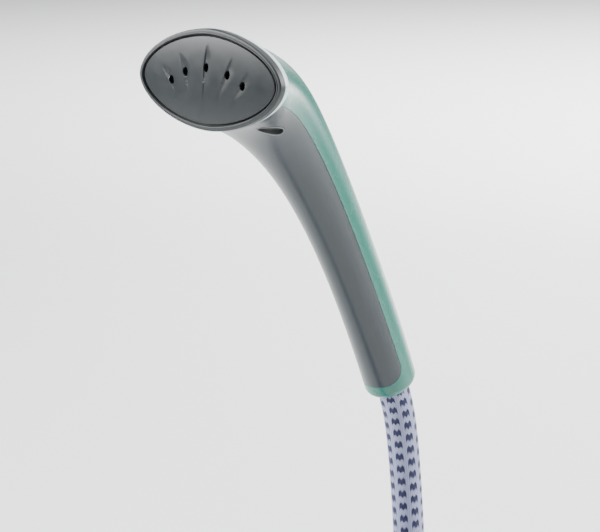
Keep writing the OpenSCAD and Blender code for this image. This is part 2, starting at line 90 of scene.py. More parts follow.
def addNoise(tree, where, scale, detail=3.0, rough=0.5, stretch=None):
    source = where.outputs["Object"]
    if stretch:
        mapping = tree.nodes.new("ShaderNodeMapping")
        mapping.inputs["Scale"].default_value = stretch
        tree.links.new(source, mapping.inputs["Vector"])
        source = mapping.outputs["Vector"]
    noise = tree.nodes.new("ShaderNodeTexNoise")
    noise.inputs["Scale"].default_value = scale
    noise.inputs["Detail"].default_value = detail
    noise.inputs["Roughness"].default_value = rough
    tree.links.new(source, noise.inputs["Vector"])
    return noise.outputs["Fac"]


def addRange(tree, value, low, high, toLow, toHigh):
    ranged = tree.nodes.new("ShaderNodeMapRange")
    for key, number in (("From Min", low), ("From Max", high), ("To Min", toLow), ("To Max", toHigh)):
        ranged.inputs[key].default_value = number
    tree.links.new(value, ranged.inputs["Value"])
    return ranged.outputs["Result"]


def addMix(tree, factor, first, second):
    mix = tree.nodes.new("ShaderNodeMix")
    mix.data_type = "RGBA"
    for socket, colour in ((mix.inputs["A"], first), (mix.inputs["B"], second)):
        if isinstance(colour, tuple):
            socket.default_value = (*colour, 1.0)
        else:
            tree.links.new(colour, socket)
    tree.links.new(factor, mix.inputs["Factor"])
    return mix.outputs["Result"]


def addMath(tree, kind, *values):
    node = tree.nodes.new("ShaderNodeMath")
    node.operation = kind
    for socket, value in zip(node.inputs, values):
        if isinstance(value, (int, float)):
            socket.default_value = value
        else:
            tree.links.new(value, socket)
    return node.outputs["Value"]


def addBump(tree, shader, height, strength, distance):
    bump = tree.nodes.new("ShaderNodeBump")
    bump.inputs["Strength"].default_value = strength
    bump.inputs["Distance"].default_value = distance
    tree.links.new(height, bump.inputs["Height"])
    tree.links.new(bump.outputs["Normal"], shader.inputs["Normal"])


# a moulded or cast surface: two close colours, a grain, and a roughness that is uneven
def makeFinish(name, colour, shade, rough, grain=900.0, bump=0.1, deep=0.00005, metal=0.0,
               coat=0.0, stretch=None, patches=28.0):
    mat, tree, shader, where = startMaterial(name)
    wide = addNoise(tree, where, patches, 4.0, 0.55)
    fine = addNoise(tree, where, grain, 2.0, 0.5, stretch)
    tone = addMix(tree, addRange(tree, wide, 0.3, 0.7, 0.0, 1.0), colour, shade)
    tree.links.new(tone, shader.inputs["Base Color"])
    smear = addNoise(tree, where, patches * 4.5, 5.0, 0.6, stretch)
    tree.links.new(addRange(tree, smear, 0.3, 0.7, rough[0], rough[1]), shader.inputs["Roughness"])
    shader.inputs["Metallic"].default_value = metal
    shader.inputs["Coat Weight"].default_value = coat
    shader.inputs["Coat Roughness"].default_value = 0.24
    addBump(tree, shader, fine, bump, deep)
    return mat


# a knitted sleeve of chevron stitches, with columns of dark marks two stitches tall, on the
# piece's own UVs (U once round, V in metres along); each colour darkens into painted shade between the
# stitch loops
sleeve = {"pale": (0.60, 0.61, 0.80), "shade": (0.07, 0.10, 0.26), "mark": (0.003, 0.004, 0.030),
          "markLit": (0.008, 0.011, 0.075), "columns": 8, "wales": 24, "courses": 500.0, "rowsPerMark": 5,
          "tall": 2.6, "halfWide": 0.335, "slant": 1.3}


def makeSleeve(name):
    mat, tree, shader, where = startMaterial(name)
    parts = tree.nodes.new("ShaderNodeSeparateXYZ")
    tree.links.new(where.outputs["UV"], parts.inputs["Vector"])
    around, along = parts.outputs["X"], parts.outputs["Y"]
    # chevron stitches, whose loop height also paints shade between the loops
    wale = addMath(tree, "FRACT", addMath(tree, "MULTIPLY", around, sleeve["wales"]))
    lean = addMath(tree, "MULTIPLY", addMath(tree, "ABSOLUTE", addMath(tree, "SUBTRACT", wale, 0.5)),
                   2 * sleeve["slant"])
    course = addMath(tree, "ADD", addMath(tree, "MULTIPLY", along, sleeve["courses"]), lean)
    stitch = addMath(tree, "FRACT", course)
    loop = addMath(tree, "SINE", addMath(tree, "MULTIPLY", stitch, math.pi))
    rib = addMath(tree, "ABSOLUTE", addMath(tree, "SINE", addMath(tree, "MULTIPLY", wale, math.tau)))
    height = addMath(tree, "MULTIPLY", loop, addMath(tree, "ADD", addMath(tree, "MULTIPLY", rib, 0.5), 0.5))
    # dark marks, every other column moved half a step
    place = addMath(tree, "MULTIPLY", around, sleeve["columns"])
    odd = addMath(tree, "MULTIPLY", addMath(tree, "MODULO", addMath(tree, "FLOOR", place), 2.0),
                  sleeve["rowsPerMark"] / 2)
    row = addMath(tree, "MODULO", addMath(tree, "ADD", course, odd), float(sleeve["rowsPerMark"]))
    inColumn = addMath(tree, "ABSOLUTE", addMath(tree, "SUBTRACT", addMath(tree, "FRACT", place), 0.5))
    mark = addMath(tree, "MULTIPLY", addMath(tree, "LESS_THAN", row, sleeve["tall"]),
                   addMath(tree, "LESS_THAN", inColumn, sleeve["halfWide"]))
    # the stitch's height sets its colour: pale on the loop tops, painted shade in the hollows between loops,
    # on the ground and in the marks
    stitchShading = addRange(tree, height, 0.2, 0.95, 0.0, 1.0)
    ground = addMix(tree, stitchShading, sleeve["shade"], sleeve["pale"])
    dark = addMix(tree, stitchShading, sleeve["mark"], sleeve["markLit"])
    tree.links.new(addMix(tree, mark, ground, dark), shader.inputs["Base Color"])
    fuzz = addNoise(tree, where, 2600.0, 2.0)
    tree.links.new(addRange(tree, fuzz, 0.3, 0.7, 0.62, 0.85), shader.inputs["Roughness"])
    shader.inputs["Sheen Weight"].default_value = 0.12
    shader.inputs["Sheen Roughness"].default_value = 0.4
    raised = addMath(tree, "ADD", height, addMath(tree, "MULTIPLY", mark, 0.5))
    addBump(tree, shader, addMath(tree, "ADD", raised, addMath(tree, "MULTIPLY", fuzz, 0.3)), 0.7, 0.0006)
    return mat


finishes = {
    "mint": makeFinish("mint_gloss", (0.008, 0.145, 0.106), (0.007, 0.138, 0.100), (0.24, 0.28),
                       420.0, 0.02, 0.00003, coat=0.2),
    "grey": makeFinish("grey_gloss", (0.007, 0.017, 0.022), (0.006, 0.015, 0.020), (0.30, 0.34),
                       420.0, 0.03, 0.00003, coat=0.3),
    "bezel": makeFinish("grey_satin", (0.015, 0.020, 0.022), (0.013, 0.018, 0.020), (0.44, 0.52),
                        1700.0, 0.10, 0.00005),
    # the slot's rim: a paler grey, a painted highlight where the rim's edge catches light
    "lip": makeFinish("grey_rim_highlight", (0.10, 0.115, 0.12), (0.09, 0.104, 0.11), (0.30, 0.38),
                      1700.0, 0.10, 0.00005),
    "collar": makeFinish("pale_moulding", (0.60, 0.76, 0.76), (0.57, 0.72, 0.72), (0.24, 0.34),
                         1500.0, 0.07, 0.00004),
    "plate": makeFinish("coated_plate", (0.010, 0.014, 0.016), (0.009, 0.013, 0.015), (0.30, 0.36),
                        2600.0, 0.05, 0.00002),
    # black rubber for the seal and rings; also put on the plate's metal side as painted shade in the gap
    # round the plate
    "rubber": makeFinish("black_rubber_and_gap_shade", (0.012, 0.012, 0.013), (0.018, 0.018, 0.019), (0.55, 0.75),
                         2200.0, 0.3, 0.00008),
    "dark": makeFinish("dark_plastic", (0.004, 0.005, 0.005), (0.003, 0.004, 0.004), (0.75, 0.9),
                       1800.0, 0.15, 0.00005),
    "cuff": makeFinish("grey_rubber", (0.075, 0.085, 0.10), (0.06, 0.07, 0.085), (0.5, 0.68),
                       1900.0, 0.25, 0.00007),
    "cast": makeFinish("cast_metal", (0.62, 0.62, 0.60), (0.52, 0.52, 0.51), (0.42, 0.62),
                       700.0, 0.35, 0.0001, metal=1.0),
    "steel": makeFinish("bright_steel", (0.66, 0.66, 0.65), (0.60, 0.60, 0.60), (0.18, 0.34),
                        500.0, 0.12, 0.00003, metal=1.0, stretch=(1.0, 1.0, 12.0)),
    "brass": makeFinish("turned_brass", (0.72, 0.50, 0.20), (0.62, 0.42, 0.16), (0.22, 0.38),
                        500.0, 0.14, 0.00003, metal=1.0, stretch=(1.0, 1.0, 14.0)),
    "silicone": makeFinish("red_silicone", (0.42, 0.06, 0.04), (0.36, 0.05, 0.035), (0.5, 0.65),
                           1500.0, 0.2, 0.00006),
    "tube": makeFinish("milky_tube", (0.62, 0.64, 0.62), (0.55, 0.58, 0.56), (0.3, 0.45),
                       1500.0, 0.1, 0.00005),
    "tie": makeFinish("woven_tie", (0.035, 0.038, 0.05), (0.05, 0.054, 0.07), (0.7, 0.9),
                      2400.0, 0.8, 0.0003, stretch=(1.0, 1.0, 3.0)),
    "sleeve": makeSleeve("knitted_sleeve"),
}
print("steamer: finishes made")


# shared makers
sharpAngle = 38


def finishPiece(name, bm, finish, slotName, body="root", replaced=(), angle=sharpAngle):
    mesh = bpy.data.meshes.new(name)
    bm.to_mesh(mesh)
    bm.free()
    piece = bpy.data.objects.new(name, mesh)
    bpy.context.scene.collection.objects.link(piece)
    for key in (finish if isinstance(finish, tuple) else (finish,)):
        mesh.materials.append(finishes[key])
    mesh.shade_smooth()
    mesh.set_sharp_from_angle(angle=math.radians(angle))
    if slotName:
        if replaced:
            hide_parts(*replaced)
        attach(piece, body)
    return piece


# applies the modifiers, so that the piece's mesh is its finished shape
def settle(piece, angle=sharpAngle):
    bpy.context.view_layer.update()
    graph = bpy.context.evaluated_depsgraph_get()
    mesh = bpy.data.meshes.new_from_object(piece.evaluated_get(graph))
    mesh.name = piece.name + "_mesh"
    piece.modifiers.clear()
    piece.data = mesh
    mesh.shade_smooth()
    mesh.set_sharp_from_angle(angle=math.radians(angle))


def addSolidify(piece, thick):
    wall = piece.modifiers.new("wall", "SOLIDIFY")
    wall.thickness, wall.offset, wall.use_even_offset = thick, -1.0, False


def addBevel(piece, width, segments=2, angle=sharpAngle):
    edge = piece.modifiers.new("edge", "BEVEL")
    edge.width, edge.segments, edge.limit_method = width, segments, "ANGLE"
    edge.angle_limit = math.radians(angle)
    edge.profile = 0.5
    edge.material = -1


def addCut(piece, cutter):
    cut = piece.modifiers.new("cut", "BOOLEAN")
    cut.operation, cut.object, cut.solver = "DIFFERENCE", cutter, "EXACT"


# a flat grid of across by along cells, each corner moved to its place on a surface
def drapeGrid(bm, across, along, pointAt):
    made = bmesh.ops.create_grid(bm, x_segments=across, y_segments=along, size=1.0)["verts"]
    reach = max(abs(v.co.x) for v in made)
    for v in made:
        v.co = pointAt(round((v.co.x / reach + 1) / 2 * across), round((v.co.y / reach + 1) / 2 * along))
    return made


def closeUp(bm, gap=0.000002):
    bmesh.ops.remove_doubles(bm, verts=bm.verts, dist=gap)
    bmesh.ops.dissolve_degenerate(bm, edges=bm.edges, dist=gap / 2)


def turnOut(bm):
    bmesh.ops.recalc_face_normals(bm, faces=bm.faces)


# a closed or open profile of (radius, height), in mm, spun round an upright axis
def spinProfile(bm, profile, centre, steps=64, closed=True):
    verts = [bm.verts.new(Vector((centre[0] + r * mm, centre[1], centre[2] + z * mm))) for r, z in profile]
    ring = zip(verts, verts[1:] + verts[:1]) if closed else zip(verts, verts[1:])
    edges = [bm.edges.new(pair) for pair in ring]
    bmesh.ops.spin(bm, geom=verts + edges, cent=centre, axis=(0.0, 0.0, 1.0), angle=math.tau,
                   steps=steps, use_merge=True, use_duplicate=False)
    closeUp(bm)


# shape of the neck and handle, in mm seen from the middle of the plate
endLean = math.radians(26.5)
leanDir = Vector((math.cos(endLean), math.sin(endLean)))
endMid = Vector((195.5, -235.5))
handle = {
    "headRound": 1.8,
    "frontLine": [Vector((11.0, -30.5)), Vector((21.505, -36.5025)), Vector((74.29, -45.9225)),
                  Vector((123.165, -131.88)), endMid - leanDir * 19.5],
    "backLine": [Vector((11.0, 30.5)), Vector((76.245, 7.065)), Vector((92.8625, 7.065)),
                 Vector((127.075, -63.585)), Vector((175.95, -134.235)), endMid + leanDir * 19.5],
    "widthLine": [58.5, 30.0, 20.0, 15.5, 16.0, 18.5],
    "seamLine": [-28.0, -7.0, 2.0, -10.0, -10.0], "stripLine": [62.0, 68.0, 26.0, 38.0, 38.0],
    "bandHigh": 12.5, "cornerRound": 12.0, "endRound": 6.0, "mouth": 12.1, "mouthDeep": 3.0,
    "gap": 0.22,
}


def curveAt(lead, s):
    points = list(lead)
    while len(points) > 1:
        points = [a * (1 - s) + b * s for a, b in zip(points, points[1:])]
    return points[0]


endRate = (4 * (handle["frontLine"][4] - handle["frontLine"][3])
           + 5 * (handle["backLine"][5] - handle["backLine"][4])).length / 2
bandS = 1 - handle["bandHigh"] / endRate
cornerS = bandS - handle["cornerRound"] / endRate


def signedPower(value, power):
    return math.copysign(abs(value) ** power, value)


def halfWidth(s):
    return curveAt(handle["widthLine"], s)


def sectionAt(s):
    front, back = curveAt(handle["frontLine"], s), curveAt(handle["backLine"], s)
    across = back - front
    return (front + back) / 2, across / across.length, across.length / 2


def powerAt(s):
    return 2 / min(2.0, handle["headRound"] + (2 - handle["headRound"]) * s / 0.35)


# a point of the skin: station s down the handle, angle round it (90 is the back), set in by mm
def skinPoint(s, angle, inset=0.0):
    middle, across, depth = sectionAt(s)
    t, power = math.radians(angle), powerAt(s)
    u = (halfWidth(s) - inset) * signedPower(math.cos(t), power)
    v = (depth - inset) * signedPower(math.sin(t), power)
    return (Vector((u, middle[0] + across[0] * v, middle[1] + across[1] * v)) + plateMiddle) * mm


def seamAngle(s, inset):
    return curveAt(handle["seamLine"], s) - math.degrees(inset / halfWidth(s))


# rows down the parting line: (station, distance in from the seam)
def partingRows(steps, turns):
    rows = [(cornerS * k / steps, 0.0) for k in range(steps)]
    for k in range(turns + 1):
        q = math.pi / 2 * k / turns
        rows.append((cornerS + handle["cornerRound"] * math.sin(q) / endRate,
                     handle["cornerRound"] * (1 - math.cos(q))))
    return rows


# accessory slot
slot = {
    "side": 23.6, "back": 34.8, "skin": -32.6, "turn": -8.0,   # its place on the neck's underside
    "long": 20.6, "wide": 4.8, "deep": 11.0, "round": 0.9, "around": 72,
    # rim, as (grown by, proud of the skin)
    "lip": [(0.95, -1.6), (1.0, -0.5), (1.0, 0.05), (0.86, 0.24), (0.6, 0.3), (0.32, 0.24), (0.1, 0.0),
            (0.0, -0.4), (-0.05, -0.9)],
    # floor and outside, as (grown by, above the floor)
    "floor": [(-0.1, -0.6), (-0.6, 0.0), (-2.5, 0.0), (-2.5, 1.0), (0.95, 1.0)],
    "cutGrow": 1.15, "cutBelow": 14.0, "cutHigh": 26.0,
}


# corners of the slot's long oval in X and Y, grown by some mm
def barOutline(grow):
    turn = Matrix.Rotation(math.radians(90 + slot["turn"]), 2)
    points = []
    for k in range(slot["around"]):
        t = math.tau * (k + 0.5) / slot["around"]
        corner = Vector(((slot["long"] / 2 + grow) * signedPower(math.cos(t), slot["round"]),
                         (slot["wide"] / 2 + grow) * signedPower(math.sin(t), slot["round"])))
        points.append(turn @ corner + Vector((slot["side"], slot["back"])))
    return points


# the lower skin's point at a given X and Y, in mm from the middle of the plate
def lowerSkinAt(x, y, inset):
    low, high = 0.0, 0.50
    for _ in range(30):
        s = (low + high) / 2
        middle, across, depth = sectionAt(s)
        side = min(1.0, abs(x) / (halfWidth(s) - inset))
        v = -(depth - inset) * (1 - side ** (2 / powerAt(s))) ** (powerAt(s) / 2)
        if middle[0] + across[0] * v < y:
            low = s
        else:
            high = s
    return Vector((x, y, middle[1] + across[1] * v))


def makeSlotCutter():
    outline = barOutline(slot["cutGrow"])
    bottom = slot["skin"] - slot["cutBelow"]

    def cutterPoint(i, j):
        return (Vector((*outline[i % len(outline)], bottom + slot["cutHigh"] * j)) + plateMiddle) * mm

    bm = bmesh.new()
    drapeGrid(bm, len(outline), 1, cutterPoint)
    closeUp(bm)
    bmesh.ops.holes_fill(bm, edges=[e for e in bm.edges if e.is_boundary], sides=0)
    turnOut(bm)
    return finishPiece("slotCutter", bm, "dark", None)


def makeSlotPocket():
    lip, floor = slot["lip"], slot["floor"]
    outlines = [barOutline(grow) for grow, rise in lip + floor]
    top = slot["skin"] + slot["deep"]

    def pocketPoint(i, j):
        x, y = outlines[j][i % slot["around"]]
        if j < len(lip):
            return (lowerSkinAt(x, y, -lip[j][1]) + plateMiddle) * mm
        return (Vector((x, y, top + floor[j - len(lip)][1])) + plateMiddle) * mm

    bm = bmesh.new()
    drapeGrid(bm, slot["around"], len(outlines) - 1, pocketPoint)
    closeUp(bm)
    bmesh.ops.holes_fill(bm, edges=[e for e in bm.edges if e.is_boundary], sides=0)
    turnOut(bm)
    for face in bm.faces:   # the rim gets a paler finish than the pocket: a painted highlight on its edge
        middle = face.calc_center_median() / mm - plateMiddle
        if middle.z < lowerSkinAt(middle.x, middle.y, 0.0).z - 0.05:
            face.material_index = 1
    finishPiece("slotPocket", bm, ("dark", "lip"), "dark_plastic", replaced=("slot_pocket",))


# shells
shell = {"steps": 120, "turns": 14, "across": 72, "sideCells": 44, "topCells": 26, "chinCells": 40,
         "bandCells": 5, "roundCells": 12, "frontWall": 1.9, "rearWall": 1.7, "edge": 0.4, "seat": 1.35}
strip = {"steps": 130, "across": 40, "gap": 0.6, "thick": 1.0}


# an open sheet round the handle is turned so that it faces away from the handle's middle
def faceOut(piece):
    if sum(face.normal.x * face.center.x * face.area for face in piece.data.polygons) < 0:
        piece.data.flip_normals()


def makeFrontShell():
    rows = partingRows(shell["steps"], shell["turns"])
    gap, wide = handle["gap"], shell["across"]

    def frontPoint(i, j):
        s, inset = rows[j]
        s *= 1 - gap / endRate
        a = seamAngle(s, inset + gap)
        return skinPoint(s, a + (-180 - 2 * a) * i / wide)

    bm = bmesh.new()
    drapeGrid(bm, wide, len(rows) - 1, frontPoint)
    turnOut(bm)
    cutter = makeSlotCutter()
    piece = finishPiece("frontShell", bm, "grey", "shell_grey", replaced=("front_shell",))
    faceOut(piece)
    addSolidify(piece, shell["frontWall"] * mm)
    addCut(piece, cutter)
    addBevel(piece, shell["edge"] * mm)
    settle(piece)
    bpy.data.objects.remove(cutter)


# across the rear shell, as (angle, sunk by): up one side, over the strip's seat, down the other
def rearColumns(s, inset, seat):
    a = seamAngle(s, inset)
    edge = 90 - curveAt(handle["stripLine"], s)
    cells, topCells = shell["sideCells"], shell["topCells"]
    side = [(a + (edge - a) * k / cells, 0.0) for k in range(cells + 1)] + [(edge, seat)]
    top = [(edge + (180 - 2 * edge) * k / topCells, seat) for k in range(1, topCells)]
    return side + top + [(180 - angle, sunk) for angle, sunk in reversed(side)]


def makeRearShell():
    # rows down the shell, as (station, in from the seam, strip's seat, drawn in)
    rows = [(s, inset, shell["seat"], 0) for s, inset in partingRows(shell["steps"], shell["turns"])]
    full = handle["cornerRound"]
    roundS = 1 - handle["endRound"] / endRate
    bandRows = [(bandS + (roundS - bandS) * k / shell["bandCells"], full, 0.0, 0)
                for k in range(shell["bandCells"] + 1)]
    for k in range(1, shell["roundCells"] + 1):
        q = math.pi / 2 * k / shell["roundCells"]
        bandRows.append((roundS + handle["endRound"] * math.sin(q) / endRate, full, 0.0,
                         handle["endRound"] * (1 - math.cos(q))))
    mouthRows = [(handle["mouth"] + 0.35, 0.0), (handle["mouth"] + 0.1, 0.1), (handle["mouth"], 0.4),
                 (handle["mouth"], handle["mouthDeep"])]

    def mouthPoint(angle, row):
        r, up = row
        t = math.radians(angle)
        centre = endMid + Vector((-leanDir[1], leanDir[0])) * up
        return (Vector((r * math.cos(t), centre[0] + leanDir[0] * r * math.sin(t),
                        centre[1] + leanDir[1] * r * math.sin(t))) + plateMiddle) * mm

    bm = bmesh.new()
    allRows = rows + bandRows

    def rearPoint(i, j):
        if j < len(allRows):
            s, inset, seat, drawn = allRows[j]
            angle, sunk = rearColumns(s, inset, seat)[i]
            return skinPoint(s, angle, sunk + drawn)
        return mouthPoint(rearColumns(1.0, full, 0.0)[i][0], mouthRows[j - len(allRows)])

    columns = len(rearColumns(0.5, 0.0, shell["seat"]))
    drapeGrid(bm, columns - 1, len(allRows) + len(mouthRows) - 1, rearPoint)

    # the band's front, below the front shell
    def chinPoint(i, j):
        s, drawn = (bandRows[j][0], bandRows[j][3]) if j < len(bandRows) else (1.0, 0.0)
        a = seamAngle(s, full)
        angle = a + (-180 - 2 * a) * i / shell["chinCells"]
        if j < len(bandRows):
            return skinPoint(s, angle, drawn)
        return mouthPoint(angle, mouthRows[j - len(bandRows)])

    drapeGrid(bm, shell["chinCells"], len(bandRows) + len(mouthRows) - 1, chinPoint)
    closeUp(bm)
    turnOut(bm)
    piece = finishPiece("rearShell", bm, "mint", "shell_mint", replaced=("rear_shell",))
    faceOut(piece)
    addSolidify(piece, shell["rearWall"] * mm)
    addBevel(piece, shell["edge"] * mm)
    settle(piece)


def faceUp(piece):
    if sum(face.normal.z * face.area for face in piece.data.polygons) < 0:
        piece.data.flip_normals()


def makeBackStrip():
    def stripPoint(i, j):
        s = (bandS - strip["gap"] / endRate) * j / strip["steps"]
        half = curveAt(handle["stripLine"], s) - math.degrees(strip["gap"] / halfWidth(s))
        return skinPoint(s, 90 - half + 2 * half * i / strip["across"])

    bm = bmesh.new()
    drapeGrid(bm, strip["across"], strip["steps"], stripPoint)
    turnOut(bm)
    piece = finishPiece("backStrip", bm, "mint", "shell_mint", replaced=("back_strip",))
    faceUp(piece)
    addSolidify(piece, strip["thick"] * mm)
    addBevel(piece, shell["edge"] * mm)
    settle(piece)


# head
head = {
    "halfWide": 60.0, "halfHigh": 32.0, "around": 256,
    # closed profiles of (inset, depth behind the plate's face)
    "bezel": [(0.0, 6.9), (0.0, 3.2), (0.12, 2.62), (0.45, 2.2), (0.9, 2.05), (2.05, 2.0), (2.2, 1.75),
              (2.45, 1.6), (2.85, 1.6), (3.1, 1.78), (3.2, 2.1), (3.2, 4.75), (9.0, 4.75), (9.0, 6.55),
              (3.75, 6.55), (3.75, 6.9)],
    "seal": [(3.25, 2.5), (3.35, 2.4), (3.5, 2.5), (3.6, 3.5), (3.9, 3.75), (4.45, 3.8), (4.45, 4.05),
             (8.9, 4.05), (8.9, 4.7), (3.25, 4.7)],
    "collar": [(0.95, 7.0), (0.6, 7.3), (0.55, 7.8), (0.6, 10.4), (0.75, 10.8), (1.1, 10.95),
               (4.8, 10.95), (4.8, 7.0)],
}


def headPoint(i, inset, y):
    t = math.tau * i / head["around"]
    power = 2 / handle["headRound"]
    return (Vector(((head["halfWide"] - inset) * signedPower(math.cos(t), power), y,
                    (head["halfHigh"] - inset) * signedPower(math.sin(t), power))) + plateMiddle) * mm


# a ring round the head from a closed profile of (inset, depth)
def makeHeadRing(name, profile, finish, slotName, node):
    bm = bmesh.new()
    count = len(profile)
    drapeGrid(bm, head["around"], count, lambda i, j: headPoint(i, *profile[j % count]))
    closeUp(bm)
    turnOut(bm)
    return finishPiece(name, bm, finish, slotName, replaced=(node,))


# the plate: each flute is a line of (X, Z) through its port, steep on one side, soft on the other
flutes = {
    "lines": [((-38.6, 7.0), (-31.6, -1.5), (-25.4, -14.0)), ((-24.4, 16.5), (-18.8, 4.5), (-13.0, -15.5)),
              ((0.6, 24.4), (-1.4, 8.0), (-3.4, -20.4)), ((21.8, 16.5), (16.4, 4.5), (6.4, -15.5)),
              ((34.6, 8.2), (28.4, -1.5), (18.6, -14.0))],
    "ports": [(-30.0, -1.5), (-17.7, 4.48), (0.0, 8.0), (17.7, 4.48), (30.0, -1.5)],
    "deep": 0.5, "steep": 0.8, "soft": 5.5, "fadeIn": 0.35, "fadeOut": 0.55, "tip": 0.35,
}
plate = {
    "inset": 4.55, "rings": 84, "proud": 0.62, "crown": 1.6, "crownPower": 2.2, "sideFrom": 2.7,
    # beyond the domed face: the rim, the side and the back, as (share of the outline, depth)
    "rim": [(1.0, 2.5), (1.0, 2.8), (1.0, 3.95), (0.7, 3.95), (0.35, 3.95), (0.0, 3.95)],
    # a port has one flatter side, which follows its flute
    "portRound": 2.4, "portDeep": 12.0, "portFlat": 0.72, "portTall": 1.18, "portTurn": -0.5,
}


def smoothStep(value):
    value = min(1.0, max(0.0, value))
    return value * value * (3 - 2 * value)


# how deep a flute is at a place on the plate
def fluteDepth(x, z):
    deepest = 0.0
    for line in flutes["lines"]:
        best = None
        for k in range(2):
            a, b = line[k], line[k + 1]
            run = (b[0] - a[0], b[1] - a[1])
            size = run[0] ** 2 + run[1] ** 2
            part = max(0.0, min(1.0, ((x - a[0]) * run[0] + (z - a[1]) * run[1]) / size))
            dx, dz = x - a[0] - part * run[0], z - a[1] - part * run[1]
            near = math.hypot(dx, dz)
            if best is None or near < best[0]:
                side = math.copysign(1.0, run[0] * dz - run[1] * dx)
                best = (near, side, (k + part) / 2)
        near, side, along = best
        swell = smoothStep(along / flutes["fadeIn"]) * smoothStep((1 - along) / flutes["fadeOut"])
        width = flutes["soft"] if side > 0 else flutes["steep"]
        width *= flutes["tip"] + (1 - flutes["tip"]) * swell
        if near < width:
            deepest = max(deepest, flutes["deep"] * swell * smoothStep(1 - near / width))
    return deepest


def makePlate():
    rings, rim = plate["rings"], plate["rim"]
    a, b = head["halfWide"] - plate["inset"], head["halfHigh"] - plate["inset"]

    def platePoint(i, j):
        t = math.tau * i / head["around"]
        power = 2 / handle["headRound"]
        cx, cz = a * signedPower(math.cos(t), power), b * signedPower(math.sin(t), power)
        if j <= rings:
            r = math.sin(math.pi / 2 * j / rings) ** 0.9 * 0.992
            x, z = cx * r, cz * r
            y = plate["proud"] + plate["crown"] * r ** plate["crownPower"] + fluteDepth(x, z)
        else:
            r, y = rim[j - rings - 1]
            x, z = cx * r, cz * r
        return (Vector((x, y, z)) + plateMiddle) * mm

    bm = bmesh.new()
    drapeGrid(bm, head["around"], rings + len(rim), platePoint)
    closeUp(bm)
    turnOut(bm)
    for face in bm.faces:   # its metal side gets the black rubber finish, as painted shade in the gap round the plate
        if face.calc_center_median().y / mm - plateMiddle.y > plate["sideFrom"]:
            face.material_index = 1
    piece = finishPiece("steamPlate", bm, ("plate", "rubber"), "plate_metal", replaced=("steam_plate",))
    cutterMesh = bmesh.new()
    for x, z in flutes["ports"]:
        r = plate["portRound"] * mm
        made = bmesh.ops.create_cone(cutterMesh, cap_ends=True, segments=40, radius1=r, radius2=r,
                                     depth=plate["portDeep"] * mm)["verts"]
        for v in made:
            if v.co.x > 0:
                v.co.x *= plate["portFlat"]
            v.co.y *= plate["portTall"]
        turn = (Matrix.Rotation(math.radians(90), 4, "X")
                @ Matrix.Rotation(math.radians(x * plate["portTurn"]), 4, "Z"))
        bmesh.ops.transform(cutterMesh, matrix=Matrix.Translation((Vector((x, 2.0, z)) + plateMiddle) * mm)
                            @ turn, verts=made)
    turnOut(cutterMesh)
    cutter = finishPiece("portCutter", cutterMesh, "dark", None)
    addCut(piece, cutter)
    settle(piece, 30)
    bpy.data.objects.remove(cutter)


def makeHead():
    makeHeadRing("headBezel", head["bezel"], "bezel", "shell_grey", "head_bezel")
    makeHeadRing("plateSeal", head["seal"], "rubber", "seal_black", "plate_seal")
    makeHeadRing("headCollar", head["collar"], "collar", "collar_pale", "head_collar")
    makePlate()


# hose
hose = {
    "route": [(50, -105), (54, -113), (59, -127), (63, -143), (66.5, -163), (70, -188), (73, -214),
              (75.5, -240), (77, -264), (78, -288), (78, -312), (78, -335)],   # (Y, Z), in the plane X = 0
    "round": 11.5, "coil": 125.0, "turns": 1.5, "pitch": 23.5, "side": 53.0, "tail": 12.0,
    "around": 40, "step": 2.6, "bends": 8, "turnSteps": 150,
}
coilMiddle = Vector((0.0, -47.0, -335.0))
farEnd = Vector((0.053, -0.172, -0.323))       # where the cuff starts, in metres


# down the route on a smooth curve, round the coil, and up to the connector
def hosePath():
    run = [Vector((0.0, y, z)) for y, z in hose["route"]]
    lead = [run[0] * 2 - run[1]] + run + [run[-1] + Vector((0.0, 0.0, -24.0))]
    points = []
    for k in range(1, len(lead) - 2):
        a, b, c, d = lead[k - 1:k + 3]
        for part in range(hose["bends"]):
            t = part / hose["bends"]
            points.append(0.5 * (b * 2 + (c - a) * t + (a * 2 - b * 5 + c * 4 - d) * t * t
                                 + (b * 3 - a - c * 3 + d) * t ** 3))
    for k in range(hose["turnSteps"] + 1):
        turned = hose["turns"] * k / hose["turnSteps"]
        angle = math.tau * turned
        if turned <= 1:
            x = hose["pitch"] * smoothStep(turned)
        else:
            last = (turned - 1) / (hose["turns"] - 1)
            x = hose["pitch"] + (hose["side"] - hose["pitch"]) * smoothStep(last)
        points.append(Vector((x, coilMiddle.y + hose["coil"] * math.cos(angle),
                              coilMiddle.z - hose["coil"] * math.sin(angle))))
    points.append(points[-1] + Vector((0.0, 0.0, hose["tail"] / 2)))
    points.append(points[-1] + Vector((0.0, 0.0, hose["tail"] / 2)))
    return points


# the same path in even steps, and its length
def evenPath(points, step):
    spans = [(b - a).length for a, b in zip(points, points[1:])]
    total = sum(spans)
    count = round(total / step)
    result, k, done = [], 0, 0.0
    for n in range(count + 1):
        want = total * n / count
        while k < len(spans) - 1 and done + spans[k] < want:
            done += spans[k]
            k += 1
        result.append(points[k].lerp(points[k + 1], (want - done) / spans[k]))
    return result, total


